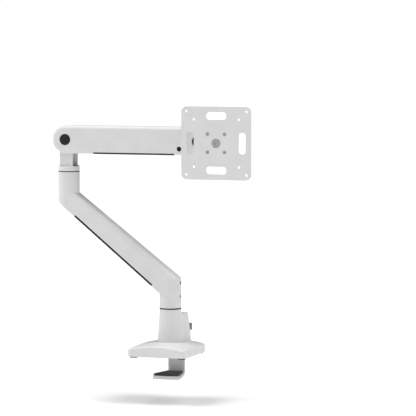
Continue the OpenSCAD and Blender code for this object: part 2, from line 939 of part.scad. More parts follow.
module pan_washers() {
    color(dark)
    for (z = [-ear_z, barrel_half])
        at_pan() translate([0, 0, z])
            difference() {
                cylinder(r = 13, h = 1.2);
                translate([0, 0, -1]) cylinder(r = pan_r + 0.3, h = 5);
            }
}

module pan_bracket() {
    color(white)
    at_pan()
        difference() {
            union() {
                for (z = [-ear_z - ear_t, ear_z]) translate([0, 0, z]) {
                    cylinder(r = 13, h = ear_t);
                    translate([-12.5, -24, 0]) cube([25, 24, ear_t]);
                }
                translate([-12.5, -24, -ear_z - ear_t]) cube([25, 7, 2 * (ear_z + ear_t)]);
                for (s = [-1, 1]) translate([s * 10.25 - 2.25, 0, 0]) {
                    translate([0, -tilt_y, -9]) cube([4.5, tilt_y - 20, 18]);
                    translate([0, -tilt_y, 0]) rod_x(9, 4.5);
                }
            }
            translate([0, 0, -50]) cylinder(r = pan_r, h = 100);
            translate([-30, -tilt_y, 0]) rod_x(tilt_r, 60);
        }
}

module pan_bolt() {
    color(steel)
    at_pan()
        difference() {
            union() {
                translate([0, 0, -ear_z - ear_t - 6]) cylinder(r = pan_r, h = 2 * (ear_z + ear_t) + 7);
                translate([0, 0, ear_z + ear_t]) cylinder(r = 11.5, h = 3);
            }
            translate([0, 0, ear_z + ear_t - 3]) hex_recess(6, 10);
        }
}

module pan_nut() {
    color(steel)
    at_pan() translate([0, 0, -ear_z - ear_t - 5])
        difference() {
            cylinder(r = 12.7, h = 5, $fn = 6);
            translate([0, 0, -1]) cylinder(r = pan_r, h = 10);
        }
}

module tilt_bolt() {
    color(steel)
    at_tilt() translate([-12.5 - 4, 0, 0])
        difference() {
            union() {
                rod_x(6.5, 4);
                translate([3, 0, 0]) rod_x(tilt_r, 28);
            }
            translate([-1, 0, 0]) rotate([0, 90, 0]) hex_recess(5, 4);
        }
}

module tilt_nut() {
    color(steel)
    at_tilt() translate([12.5, 0, 0])
        difference() {
            rotate([0, 90, 0]) cylinder(r = 7.4, h = 4.5, $fn = 6);
            translate([-1, 0, 0]) rod_x(tilt_r, 10);
        }
}

module tilt_washers() {
    color(dark)
    for (s = [-1, 1])
        at_tilt() translate([s * 7.7 - 0.3, 0, 0])
            difference() {
                rod_x(8, 0.6);
                translate([-1, 0, 0]) rod_x(tilt_r + 0.2, 4);
            }
}

module tilt_block() {
    color(white)
    at_tilt()
        difference() {
            union() {
                translate([-7.4, 0, 0]) rod_x(8.5, 14.8);
                translate([-7.4, -flange_y - 4, -7]) cube([14.8, flange_y + 4, 14]);
                translate([0, -flange_y - 7, 0]) rod_y(19, 5);
            }
            translate([-20, 0, 0]) rod_x(tilt_r + run_gap, 40);
            translate([0, -flange_y - 8, 0]) rod_y(hub_bolt_r, hub_bolt_depth + 1.1);
        }
}

module rotation_washer() {
    color(dark)
    at_pan() translate([0, -hub_y, 0])
        difference() {
            rod_y(18.5, hub_washer_t);
            translate([0, -1, 0]) rod_y(hub_bolt_r + 0.2, 5);
        }
}

module rotation_hub() {
    color(white)
    at_pan() translate([0, -vesa_y, 0])
        difference() {
            rod_y(26, hub_t);
            translate([0, -1, 0]) rod_y(hub_bolt_r + run_gap, 10);
            for (a = [45:90:315])
                rotate([0, a, 0]) translate([hub_screw_x, -1, 0]) rod_y(hub_screw_r + 0.1, 10);
        }
}

module rotation_bolt() {
    color(steel)
    at_pan() translate([0, -vesa_y - vesa_t, 0])
        difference() {
            union() {
                rod_y(hub_head_r, vesa_t);
                rod_y(hub_bolt_r, vesa_t + hub_t + hub_washer_t + hub_bolt_depth);
            }
            translate([0, -1, 0]) rotate([-90, 0, 0]) hex_recess(5, 3);
        }
}

module vesa_plate() {
    color(white)
    at_pan() translate([0, -vesa_y - vesa_t, 0])
        difference() {
            rotate([-90, 0, 0]) linear_extrude(vesa_t) round_rect(plate_w, plate_w, 9);
            for (x = [-1, 1], z = [-1, 1], d = [37.5, 50])
                translate([x * d, -1, z * d]) rod_y(vesa_hole_r, 10);
            translate([0, -1, 0]) rod_y(hub_head_r + 0.3, 10);
            for (a = [45:90:315])
                rotate([0, a, 0]) translate([hub_screw_x, 0, 0]) {
                    translate([0, -1, 0]) rod_y(hub_screw_r + 0.1, 10);
                    rotate([-90, 0, 0])
                        cylinder(r1 = 2 * hub_screw_r + 0.3, r2 = hub_screw_r + 0.1, h = 1.7);
                }
            for (a = [0:90:270])
                rotate([0, a, 0]) translate([43, 0, 0])
                    rotate([-90, 0, 0]) translate([0, 0, -1]) linear_extrude(10)
                    round_rect(12, 34, 5);
        }
}

module plate_screws() {
    color(steel)
    at_pan() translate([0, -vesa_y - vesa_t, 0])
        for (a = [45:90:315])
            rotate([0, a, 0]) translate([hub_screw_x, 0, 0])
                difference() {
                    union() {
                        rotate([-90, 0, 0])
                            cylinder(r1 = 2 * hub_screw_r + 0.2, r2 = hub_screw_r, h = 1.7);
                        rod_y(hub_screw_r, vesa_t + hub_t - 0.5);
                    }
                    translate([0, -1, 0]) rotate([-90, 0, 0]) hex_recess(2, 2.2);
                }
}

base_plate();
base_cover();
base_screws();
desk_pads();
post();
post_bolt();
column();
rear_cover();
cable_clip();
swivel_washer();
clamp_bracket();
jaw_pad();
clamp_nut();
nut_screws();
clamp_screw();
strut();
strut_cable_cover();
strut_bush();
swivel_tension_screw();
post_retaining_screw();
elbow_bush();
elbow_washer();
elbow_tension_screw();
turret();
turret_shaft();
link_pin_rear();
spring_pin();
arm_housing();
arm_cable_cover();
lift_pins();
pin_caps();
pivot_washers();
spring_cylinder();
spring_anchor();
anchor_screws();
spring_rod();
parallel_link();
end_knuckle();
link_pin_front();
pan_washers();
pan_bracket();
pan_bolt();
pan_nut();
tilt_bolt();
tilt_nut();
tilt_washers();
tilt_block();
rotation_washer();
rotation_hub();
rotation_bolt();
vesa_plate();
plate_screws();
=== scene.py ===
import math

import bmesh
import bpy
from bpy.props import FloatProperty, FloatVectorProperty, PointerProperty
from bpy.types import Operator, Panel, PropertyGroup
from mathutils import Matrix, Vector


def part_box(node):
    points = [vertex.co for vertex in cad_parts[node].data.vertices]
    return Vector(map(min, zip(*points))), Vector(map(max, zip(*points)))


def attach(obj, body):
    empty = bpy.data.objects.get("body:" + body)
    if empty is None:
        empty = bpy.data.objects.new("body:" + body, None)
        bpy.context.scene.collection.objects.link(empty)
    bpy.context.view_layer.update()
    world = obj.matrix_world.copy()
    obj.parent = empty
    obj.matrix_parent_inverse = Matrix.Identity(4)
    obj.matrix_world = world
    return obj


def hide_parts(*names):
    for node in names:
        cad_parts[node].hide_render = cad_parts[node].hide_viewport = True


bl_info = {
    "name": "Monitor Arm Finish",
    "version": (1, 0, 0),
    "blender": (4, 5, 0),
    "location": "3D View > Sidebar > Monitor Arm",
    "description": "Finishes a desk-clamp monitor arm and sets its stage",
    "category": "Object",
}

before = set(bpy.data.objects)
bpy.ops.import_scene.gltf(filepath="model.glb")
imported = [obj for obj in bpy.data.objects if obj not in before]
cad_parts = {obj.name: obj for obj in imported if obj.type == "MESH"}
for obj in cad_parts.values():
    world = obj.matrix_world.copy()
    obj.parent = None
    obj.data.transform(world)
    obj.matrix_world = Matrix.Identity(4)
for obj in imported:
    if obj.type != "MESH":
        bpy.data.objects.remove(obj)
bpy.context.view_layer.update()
MM = 0.001

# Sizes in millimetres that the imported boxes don't give
COLUMN_TOP_HALF = 17.6
COLUMN_TAPER_TOP = 66.0
COVER_CORNER = 9.0
DOME_ACROSS = 200.0
DOME_ALONG = 1145.0
COVER_WALL = 2.6
COVER_INSIDE_TOP = 8.5
NOTCH_GAP = 0.35
NOTCH_LOW = 7.2
BACK_EDGE_X = 30.0
REAR_FLARE = 6.5
REAR_SLOPE_TOP = 2.5
REAR_SLOPE_LOW = 36.5
REAR_GAP = 0.12
REAR_SKIRT_TOP = 7.0
KEY_HOLE_R = 4.7
KEY_HOLE_Y = 22.5
KEY_HOLE_DEPTH = 2.4
KEY_HOLE_SIDES = 40


# ---------------------------------------------------------------- settings

class ArmFinishSettings(PropertyGroup):
    """Colours and edge sizes of the arm's finishes"""

    coat_color: FloatVectorProperty(
        name="Coat colour", description="Colour of the powder coat on cast and sheet parts",
        subtype="COLOR", size=3, min=0, max=1, default=(0.685, 0.685, 0.68))
    coat_roughness: FloatProperty(
        name="Coat roughness", description="Roughness of the powder coat",
        subtype="FACTOR", min=0, max=1, default=0.46)
    trim_color: FloatVectorProperty(
        name="Trim colour", description="Colour of the dark plastic trim",
        subtype="COLOR", size=3, min=0, max=1, default=(0.022, 0.022, 0.024))
    clip_color: FloatVectorProperty(
        name="Clip colour", description="Colour of the rear cable clip",
        subtype="COLOR", size=3, min=0, max=1, default=(0.10, 0.10, 0.105))
    rubber_color: FloatVectorProperty(
        name="Rubber colour", description="Colour of the desk and jaw pads",
        subtype="COLOR", size=3, min=0, max=1, default=(0.03, 0.03, 0.032))
    steel_color: FloatVectorProperty(
        name="Steel colour", description="Colour of the bare steel pins and screws",
        subtype="COLOR", size=3, min=0, max=1, default=(0.44, 0.44, 0.45))
    cast_edge: FloatProperty(
        name="Cast edge", description="Rounding on the edges of cast parts",
        subtype="DISTANCE", unit="LENGTH", min=0.0001, max=0.002, default=0.0007)
    trim_edge: FloatProperty(
        name="Trim edge", description="Rounding on the edges of plastic trim",
        subtype="DISTANCE", unit="LENGTH", min=0.0001, max=0.001, default=0.0004)
    screw_edge: FloatProperty(
        name="Screw edge", description="Rounding on the edges of screws and pins",
        subtype="DISTANCE", unit="LENGTH", min=0.00005, max=0.001, default=0.00025)


class ArmShapeSettings(PropertyGroup):
    """Sizes of the pieces that are made anew"""

    cover_fillet: FloatProperty(
        name="Cover fillet", description="Rounding round the rim of the base cover",
        subtype="DISTANCE", unit="LENGTH", min=0.001, max=0.008, default=0.0017)
    rear_corner: FloatProperty(
        name="Rear corner", description="Radius of the rear cover's upright corners",
        subtype="DISTANCE", unit="LENGTH", min=0.001, max=0.008, default=0.0032)
    rear_fillet: FloatProperty(
        name="Rear fillet", description="Rounding round the rear cover's top",
        subtype="DISTANCE", unit="LENGTH", min=0.0005, max=0.003, default=0.0012)


class ArmStageSettings(PropertyGroup):
    """Camera, floor and lights"""

    camera_place: FloatVectorProperty(
        name="Camera place", description="Where the camera stands in the row frame",
        subtype="TRANSLATION", unit="LENGTH", size=3, default=(1.4711, -4.1812, 0.5539))
    camera_yaw: FloatProperty(
        name="Camera turn", description="Turn of the camera about the upright axis",
        subtype="ANGLE", default=math.radians(18.6))
    camera_drop: FloatProperty(
        name="Camera drop", description="Angle that the camera looks down",
        subtype="ANGLE", default=math.radians(4.097))
    camera_lens: FloatProperty(
        name="Lens", description="Focal length on a 36 mm sensor, in millimetres",
        min=20, max=400, default=238.7)
    floor_drop: FloatProperty(
        name="Floor drop", description="Depth of the floor below the desk's top",
        subtype="DISTANCE", unit="LENGTH", min=0.04, max=1.5, default=0.075)
    floor_size: FloatProperty(
        name="Floor size", description="Side of the square floor",
        subtype="DISTANCE", unit="LENGTH", min=1, max=4000, default=1200)
    sky_light: FloatProperty(
        name="Sky light", description="Strength of the soft light from all round",
        min=0, max=5, default=0.18)
    sky_shown: FloatProperty(
        name="Sky shown", description="Brightness of the plain background",
        min=0, max=5, default=1.0)
    top_strength: FloatProperty(
        name="Top strength", description="Strength of each of the two large soft lights overhead",
        min=0, max=10, default=1.85)
    side_strength: FloatProperty(
        name="Side strength", description="Strength of the soft light from the left",
        min=0, max=10, default=0.7)
    front_strength: FloatProperty(
        name="Front strength", description="Strength of the low light from the front",
        min=0, max=10, default=0.5)


# ---------------------------------------------------------------- materials

class Board:
    """Small helper that adds and links shader nodes for one material."""

    def __init__(self, name):
        self.material = bpy.data.materials.new(name)
        self.material.use_nodes = True
        self.tree = self.material.node_tree
        self.shader = self.tree.nodes["Principled BSDF"]
        self.place = self.add("ShaderNodeTexCoord").outputs["Object"]

    def add(self, kind, **values):
        node = self.tree.nodes.new(kind)
        for key, value in values.items():
            setattr(node, key, value)
        return node

    def link(self, out, socket):
        self.tree.links.new(out, socket)

    def set(self, **values):
        for key, value in values.items():
            self.shader.inputs[key.replace("_", " ")].default_value = value

    def stretched(self, scale):
        mapping = self.add("ShaderNodeMapping")
        mapping.inputs["Scale"].default_value = scale
        self.link(self.place, mapping.inputs["Vector"])
        return mapping.outputs["Vector"]

    def noise(self, scale, detail=3.0, rough=0.5, vector=None):
        node = self.add("ShaderNodeTexNoise")
        node.inputs["Scale"].default_value = scale
        node.inputs["Detail"].default_value = detail
        node.inputs["Roughness"].default_value = rough
        self.link(vector or self.place, node.inputs["Vector"])
        return node.outputs["Fac"]

    def cells(self, scale, feature="F1"):
        node = self.add("ShaderNodeTexVoronoi", feature=feature)
        node.inputs["Scale"].default_value = scale
        self.link(self.place, node.inputs["Vector"])
        return node.outputs["Distance"]

    def spread(self, value, low, high, from_low=0.0, from_high=1.0):
        node = self.add("ShaderNodeMapRange")
        for key, number in (("From Min", from_low), ("From Max", from_high),
                            ("To Min", low), ("To Max", high)):
            node.inputs[key].default_value = number
        self.link(value, node.inputs["Value"])
        return node.outputs["Result"]

    def blend_colors(self, factor, first, second):
        node = self.add("ShaderNodeMix", data_type="RGBA")
        for index, value in ((6, first), (7, second)):
            if isinstance(value, (tuple, list)):
                node.inputs[index].default_value = (*value[:3], 1.0)
            else:
                self.link(value, node.inputs[index])
        self.link(factor, node.inputs["Factor"])
        return node.outputs[2]

    def maths(self, operation, first, second):
        node = self.add("ShaderNodeMath", operation=operation)
        for index, value in enumerate((first, second)):
            if isinstance(value, (int, float)):
                node.inputs[index].default_value = value
            else:
                self.link(value, node.inputs[index])
        return node.outputs[0]

    def bump(self, height, distance, strength=1.0, below=None):
        node = self.add("ShaderNodeBump")
        node.inputs["Distance"].default_value = distance
        node.inputs["Strength"].default_value = strength
        self.link(height, node.inputs["Height"])
        if below is not None:
            self.link(below, node.inputs["Normal"])
        return node.outputs["Normal"]


def shade(color, factor):
    return tuple(min(1.0, c * factor) for c in color)


def powder_coat(name, settings):
    """Matte white powder coat: fine orange peel, faint mottling and fine specks."""
    board = Board(name)
    color = tuple(settings.coat_color)
    mottle = board.spread(board.noise(38, 4, 0.6), 0.0, 1.0, 0.35, 0.65)
    specks = board.spread(board.cells(2600), 0.0, 1.0, 0.05, 0.35)
    base = board.blend_colors(mottle, shade(color, 0.965), shade(color, 1.012))
    base = board.blend_colors(specks, shade(color, 0.955), base)
    board.link(base, board.shader.inputs["Base Color"])
    peel = board.noise(1150, 2.0, 0.45)
    grit = board.noise(3400, 2.0, 0.6)
    rough = board.spread(board.noise(210, 3, 0.6), settings.coat_roughness - 0.05,
                         settings.coat_roughness + 0.06, 0.3, 0.7)
    board.link(rough, board.shader.inputs["Roughness"])
    normal = board.bump(peel, 0.00022, 0.45)
    board.link(board.bump(grit, 0.00006, 0.4, normal), board.shader.inputs["Normal"])
    board.set(Specular_IOR_Level=0.42)
    return board.material


def moulded_plastic(name, color, roughness, grain=1500, depth=0.00009, gloss=0.4):
    """Dark moulded plastic with a spark-eroded grain."""
    board = Board(name)
    mottle = board.spread(board.noise(60, 4, 0.6), 0.0, 1.0, 0.3, 0.7)
    fleck = board.spread(board.noise(900, 2, 0.5), 0.0, 1.0, 0.45, 0.8)
    base = board.blend_colors(mottle, shade(color, 0.82), shade(color, 1.15))
    base = board.blend_colors(fleck, base, shade(color, 1.7))
    board.link(base, board.shader.inputs["Base Color"])
    pits = board.cells(grain, "SMOOTH_F1")
    waves = board.noise(grain * 0.45, 3, 0.6)
    rough = board.spread(board.noise(170, 3, 0.6), roughness - 0.07, roughness + 0.08, 0.3, 0.7)
    board.link(rough, board.shader.inputs["Roughness"])
    normal = board.bump(pits, depth, 0.7)
    board.link(board.bump(waves, depth, 0.5, normal), board.shader.inputs["Normal"])
    board.set(Specular_IOR_Level=gloss)
    return board.material


def pad_rubber(name, color):
    """Soft black rubber with a dusty bloom and a pebbled face."""
    board = Board(name)
    bloom = board.spread(board.noise(95, 5, 0.65), 0.0, 1.0, 0.42, 0.68)
    base = board.blend_colors(bloom, color, shade(color, 2.3))
    board.link(base, board.shader.inputs["Base Color"])
    pebbles = board.cells(1300, "SMOOTH_F1")
    board.link(board.spread(board.noise(300, 3, 0.6), 0.4, 0.58, 0.3, 0.7),
               board.shader.inputs["Roughness"])
    normal = board.bump(pebbles, 0.00016, 0.8)
    board.link(board.bump(board.noise(3000, 2, 0.5), 0.00004, 0.6, normal),
               board.shader.inputs["Normal"])
    board.set(Specular_IOR_Level=0.35, Sheen_Weight=0.08, Sheen_Roughness=0.5)
    return board.material


def turned_steel(name, color, roughness=0.3, stretch=(30.0, 30.0, 2600.0)):
    """Bare turned steel with fine tool marks and light smudges."""
    board = Board(name)
    marks = board.noise(1.0, 3.0, 0.7, board.stretched(stretch))
    smudge = board.noise(120, 4, 0.65)
    base = board.blend_colors(board.spread(marks, 0.0, 1.0, 0.3, 0.7),
                              shade(color, 0.88), shade(color, 1.06))
    board.link(base, board.shader.inputs["Base Color"])
    rough = board.maths("ADD", board.spread(marks, -0.06, 0.06, 0.3, 0.7),
                        board.spread(smudge, roughness - 0.06, roughness + 0.12, 0.35, 0.7))
    board.link(rough, board.shader.inputs["Roughness"])
    board.link(board.bump(marks, 0.00004, 0.5), board.shader.inputs["Normal"])
    board.set(Metallic=1.0)
    return board.material


def black_oxide(name):
    """Blackened screw steel with slightly brighter, rougher patches."""
    board = Board(name)
    wear = board.spread(board.noise(420, 5, 0.7), 0.0, 1.0, 0.5, 0.8)
    base = board.blend_colors(wear, (0.018, 0.018, 0.02), (0.09, 0.09, 0.095))
    board.link(base, board.shader.inputs["Base Color"])
    board.link(board.spread(board.noise(700, 3, 0.6), 0.34, 0.55, 0.3, 0.7),
               board.shader.inputs["Roughness"])
    board.link(board.bump(board.noise(2200, 3, 0.6), 0.00005, 0.5),
               board.shader.inputs["Normal"])
    board.set(Metallic=0.85)
    return board.material


def pale_floor(name):
    """Plain pale floor with a trace of texture."""
    board = Board(name)
    drift = board.spread(board.noise(2.2, 3, 0.5), 0.0, 1.0, 0.35, 0.65)
    base = board.blend_colors(drift, (0.925, 0.925, 0.925), (0.94, 0.94, 0.94))
    board.link(base, board.shader.inputs["Base Color"])
    board.set(Roughness=0.85, Specular_IOR_Level=0.15)
    return board.material


def finish(key):
    """The material of that name, made the first time it is asked for."""
    if key in bpy.data.materials:
        return bpy.data.materials[key]
    s = bpy.context.scene.arm_finish
    makers = {
        "white_powder_coat": lambda: powder_coat(key, s),
        "dark_trim_plastic": lambda: moulded_plastic(key, tuple(s.trim_color), 0.6, 1500,
                                                     0.00012, 0.1),
        "grey_clip_plastic": lambda: moulded_plastic(key, tuple(s.clip_color), 0.45),
        "pad_rubber": lambda: pad_rubber(key, tuple(s.rubber_color)),
        "turned_steel": lambda: turned_steel(key, tuple(s.steel_color)),
        "spring_steel": lambda: turned_steel(key, (0.72, 0.72, 0.74), 0.16,
                                             (2600.0, 30.0, 30.0)),
        "black_oxide_steel": lambda: black_oxide(key),
    }
    return makers[key]()


# ---------------------------------------------------------------- helpers

def coat(obj, key):
    obj.data.materials.clear()
    obj.data.materials.append(finish(key))


def soften(obj, width, segments=3, angle=32.0):
    """Rounds an object's sharp edges with modifiers, so that they catch the light."""
    weld = obj.modifiers.new("Join corners", "WELD")
    weld.merge_threshold = 1e-6
    flat = obj.modifiers.new("Clean faces", "DECIMATE")
    flat.decimate_type = "DISSOLVE"
    flat.angle_limit = math.radians(0.25)
    edge = obj.modifiers.new("Soft edges", "BEVEL")
    edge.width = width
    edge.segments = segments
    edge.limit_method = "ANGLE"
    edge.angle_limit = math.radians(angle)
    edge.use_clamp_overlap = True
    edge.miter_outer = "MITER_ARC"
    even = obj.modifiers.new("Even shading", "WEIGHTED_NORMAL")
    even.weight = 60
    even.keep_sharp = False


def finish_nodes(names, key, width, segments=3, angle=32.0):
    """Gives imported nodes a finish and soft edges."""
    for name in names:
        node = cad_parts[name]
        coat(node, key)
        soften(node, width, segments, angle)


def new_piece(name, mesh, key, body, slot, *nodes):
    """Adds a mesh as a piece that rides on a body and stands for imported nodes."""
    obj = bpy.data.objects.new(name, mesh)
    bpy.context.scene.collection.objects.link(obj)
    coat(obj, key)
    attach(obj, body)
    if nodes:
        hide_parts(*nodes)
    return obj


def mesh_from(name, verts, faces):
    """Makes a smooth mesh with outward normals from points in millimetres."""
    mesh = bpy.data.meshes.new(name)
    mesh.from_pydata([tuple(c * MM for c in v) for v in verts], [], faces)
    work = bmesh.new()
    work.from_mesh(mesh)
    bmesh.ops.remove_doubles(work, verts=work.verts, dist=1e-6)
    bmesh.ops.recalc_face_normals(work, faces=work.faces)
    for face in work.faces:
        face.smooth = True
    work.to_mesh(mesh)
    work.free()
    return mesh


def skin(rings):
    """Points and faces of open strips between rings that have the same number of points."""
    count = len(rings[0])
    verts = [p for ring in rings for p in ring]
    faces = []
    for r in range(len(rings) - 1):
        for i in range(count - 1):
            a, b = r * count + i, r * count + i + 1
            faces.append((a, b, b + count, a + count))
    return verts, faces


# ---------------------------------------------------------------- base

def column_half(z):
    """Half width of the column and the rear cover at a height, in millimetres."""
    low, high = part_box("column")
    wide = high.x * 1000
    spread = (wide - COLUMN_TOP_HALF) / (COLUMN_TAPER_TOP - low.z * 1000)
    return COLUMN_TOP_HALF + max(0.0, COLUMN_TAPER_TOP - z) * spread


def base_cover_mesh(fillet):
    """Horseshoe shell: domed top, filleted rim, skirt, and a notch for the column."""
    low, high = (c * 1000 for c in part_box("base_cover"))
    half, front, back = high.x, low.y, high.y
    corner, across, along, crown = COVER_CORNER, DOME_ACROSS, DOME_ALONG, high.z
    notch = column_half(18) + NOTCH_GAP

    def height(x, y):
        reach = along - across + math.sqrt(across * across - x * x)
        return crown - along + math.sqrt(reach * reach - y * y)

    def outer(inset):
        """Right half of the rim from the notch round to the front middle, then mirrored."""
        r = corner - inset
        pts = [(notch, back - inset), (BACK_EDGE_X, back - inset)]
        cx, cy = half - corner, back - corner
        pts += [(cx + r * math.sin(a), cy + r * math.cos(a))
                for a in [math.radians(9 * i) for i in range(11)]]
        pts += [(half - inset, back - corner + (front + 2 * corner - back) * t)
                for t in [i / 12 for i in range(1, 12)]]
        cy = front + corner
        pts += [(cx + r * math.cos(a), cy - r * math.sin(a))
                for a in [math.radians(9 * i) for i in range(11)]]
        pts += [(cx * (1 - t), front + inset) for t in [i / 6 for i in range(1, 7)]]
        return pts + [(-x, y) for x, y in reversed(pts[:-1])]

    count = len(outer(0))
    half_count = count // 2

    def inner():
        """The notch from the back edge along the rear cover and round the column."""
        straight = 14
        pts = [(notch, back * (1 - i / straight)) for i in range(straight)]
        left = half_count + 1 - straight
        pts += [(notch * math.cos(a), -notch * math.sin(a))
                for a in [math.pi / 2 * i / (left - 1) for i in range(left)]]
        return pts + [(-x, y) for x, y in reversed(pts[:-1])]

    hole = inner()
    rings = [[(x, y, z) for x, y in outer(inset)] for inset, z in (
        (COVER_WALL, COVER_INSIDE_TOP), (COVER_WALL, low.z), (0.7, low.z), (0.2, low.z + 0.3),
        (0, low.z + 0.8))]
    inset_top = outer(fillet)
    for step in range(9):
        a = math.pi / 2 * step / 8
        place = outer(fillet * (1 - math.cos(a)))
        rings.append([(x, y, height(*inset_top[i]) - fillet * (1 - math.sin(a)))
                      for i, (x, y) in enumerate(place)])
    for step in range(1, 17):
        t = 0.985 * step / 16
        ring = []
        for (x0, y0), (x1, y1) in zip(inset_top, hole):
            x, y = x0 + (x1 - x0) * t, y0 + (y1 - y0) * t
            ring.append((x, y, height(x, y)))
        rings.append(ring)
    rings.append([(x, y, height(x, y) - 0.5) for x, y in hole])
    rings.append([(x, y, NOTCH_LOW) for x, y in hole])
    verts, faces = skin(rings)
    return mesh_from("base_cover_shell", verts, faces)


class MONITORARM_OT_base_cover(Operator):
    """Builds the domed base cover with a filleted rim"""

    bl_idname = "monitor_arm.base_cover"
    bl_label = "Base Cover"

    def execute(self, context):
        shape = context.scene.arm_shape
        mesh = base_cover_mesh(shape.cover_fillet * 1000)
        piece = new_piece("base_cover_shell", mesh, "white_powder_coat", "base",
                          "white_cast", "base_cover")
        even = piece.modifiers.new("Even shading", "WEIGHTED_NORMAL")
        even.weight = 40
        return {"FINISHED"}


class MONITORARM_OT_base_metal(Operator):
    """Finishes the base plate, the post and their screws"""

    bl_idname = "monitor_arm.base_metal"
    bl_label = "Base Plate and Post"

    def execute(self, context):
        s = context.scene.arm_finish
        finish_nodes(["base_plate"], "black_oxide_steel", s.trim_edge)
        finish_nodes(["post", "post_bolt", "base_screws"], "turned_steel", s.screw_edge)
        return {"FINISHED"}


class MONITORARM_OT_pads(Operator):
    """Finishes the rubber pads under the base and on the jaw"""

    bl_idname = "monitor_arm.pads"
    bl_label = "Rubber Pads"

    def execute(self, context):
        finish_nodes(["desk_pads", "jaw_pad"], "pad_rubber", 0.0006, 4)
        return {"FINISHED"}


# ---------------------------------------------------------------- column

def rear_cover_mesh(corner, fillet):
    """U-shaped cover behind the column: sloped back, rounded corners, key hole in its top."""
    low, high = (c * 1000 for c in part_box("rear_cover"))
    seam, top = low.y, high.z
    back_low = high.y
    slope_top, slope_low = top - REAR_SLOPE_TOP, top - REAR_SLOPE_LOW

    def back(z):
        share = (slope_top - z) / (slope_top - slope_low)
        return back_low - REAR_FLARE * (1.0 - min(1.0, max(0.0, share)))

    def outline(z, inset=0.0):
        w, y = column_half(z) - REAR_GAP - inset, back(z) - inset
        r = max(0.5, corner - inset)
        pts = [(w, seam), (w, 20.0), (w, 27.0), (w, 33.4)]
        pts += [(w - r + r * math.cos(a), y - r + r * math.sin(a))
                for a in [math.radians(10 * i) for i in range(10)]]
        pts += [((w - r) * (1 - t), y) for t in (0.33, 0.66, 1.0)]
        return pts + [(-x, y2) for x, y2 in reversed(pts[:-1])]

    count = len(outline(20))
    levels = [REAR_SKIRT_TOP, 8.0, 14.0, 20.0, 26.0, 28.0, 30.0, 36.0, 42.0, 48.0, 54.0, 60.0, 61.5,
              top - max(fillet, 2.0), top - fillet]
    rings = [[(x, y, z) for x, y in outline(z)] for z in levels]
    for step in range(1, 7):
        a = math.pi / 2 * step / 6
        z = top - fillet + fillet * math.sin(a)
        rings.append([(x, y, z) for x, y in outline(top - fillet, fillet * (1 - math.cos(a)))])
    verts, faces = skin(rings)
    skirt = len(verts)
    verts += [(x, y, low.z) for x, y in outline(REAR_SKIRT_TOP)]
    for i in range(3, count - 4):
        faces.append((skirt + i, skirt + i + 1, i + 1, i))
    mesh = mesh_from("rear_cover_shell", verts, faces)
    close_rear_top(mesh, top * MM, seam * MM)
    return mesh


def close_rear_top(mesh, ring_z, seam_y):
    """Closes the rear cover's top round its key hole, in the mesh's own metres."""
    work = bmesh.new()
    work.from_mesh(mesh)
    work.verts.ensure_lookup_table()
    open_edges = [e for e in work.edges
                  if e.is_boundary and all(abs(v.co.z - ring_z) < 1e-7 for v in e.verts)]
    ends = [v for v in work.verts if abs(v.co.z - ring_z) < 1e-7
            and abs(v.co.y - seam_y) < 1e-7]
    front = work.edges.new(ends)
    sides, r = KEY_HOLE_SIDES, KEY_HOLE_R
    hole = [work.verts.new((r * MM * math.cos(a), (KEY_HOLE_Y + r * math.sin(a)) * MM, ring_z))
            for a in [2 * math.pi * i / sides for i in range(sides)]]
    round_edges = [work.edges.new((hole[i], hole[(i + 1) % sides])) for i in range(sides)]
    bmesh.ops.triangle_fill(work, use_beauty=True, use_dissolve=False,
                            edges=open_edges + [front] + round_edges)
    made = bmesh.ops.extrude_edge_only(work, edges=round_edges)
    for v in [g for g in made["geom"] if isinstance(g, bmesh.types.BMVert)]:
        v.co.z -= KEY_HOLE_DEPTH * MM
    loose = [v for v in work.verts if not v.link_faces]
    bmesh.ops.delete(work, geom=loose, context="VERTS")
    bmesh.ops.recalc_face_normals(work, faces=work.faces)
    for face in work.faces:
        face.smooth = True
    work.to_mesh(mesh)
    work.free()


class MONITORARM_OT_column(Operator):
    """Finishes the column and its bearing washer"""

    bl_idname = "monitor_arm.column"
    bl_label = "Column"

    def execute(self, context):
        s = context.scene.arm_finish
        finish_nodes(["column"], "white_powder_coat", s.cast_edge * 0.7)
        finish_nodes(["swivel_washer"], "dark_trim_plastic", s.screw_edge)
        return {"FINISHED"}


class MONITORARM_OT_rear_cover(Operator):
    """Builds the rear cover with its rounded corners and key hole"""

    bl_idname = "monitor_arm.rear_cover"
    bl_label = "Rear Cover"

    def execute(self, context):
        shape = context.scene.arm_shape
        mesh = rear_cover_mesh(shape.rear_corner * 1000, shape.rear_fillet * 1000)
        piece = new_piece("rear_cover_shell", mesh, "white_powder_coat", "base",
                          "white_plastic", "rear_cover")
        thick = piece.modifiers.new("Wall", "SOLIDIFY")
        thick.thickness = 0.0022
        thick.offset = -1.0
        even = piece.modifiers.new("Even shading", "WEIGHTED_NORMAL")
        even.weight = 40
        return {"FINISHED"}


class MONITORARM_OT_cable_clip(Operator):
    """Finishes the cable clip on the back of the column"""

    bl_idname = "monitor_arm.cable_clip"
    bl_label = "Cable Clip"

    def execute(self, context):
        finish_nodes(["cable_clip"], "grey_clip_plastic", 0.0007, 4)
        return {"FINISHED"}


# ---------------------------------------------------------------- clamp

class MONITORARM_OT_clamp(Operator):
    """Finishes the clamp bracket, its nut and the clamp screw"""

    bl_idname = "monitor_arm.clamp"
    bl_label = "Clamp"

    def execute(self, context):
        s = context.scene.arm_finish
        finish_nodes(["clamp_bracket"], "white_powder_coat", 0.0011, 4)
        finish_nodes(["clamp_nut", "nut_screws", "clamp_screw"], "turned_steel", s.screw_edge)
        return {"FINISHED"}


# ---------------------------------------------------------------- strut

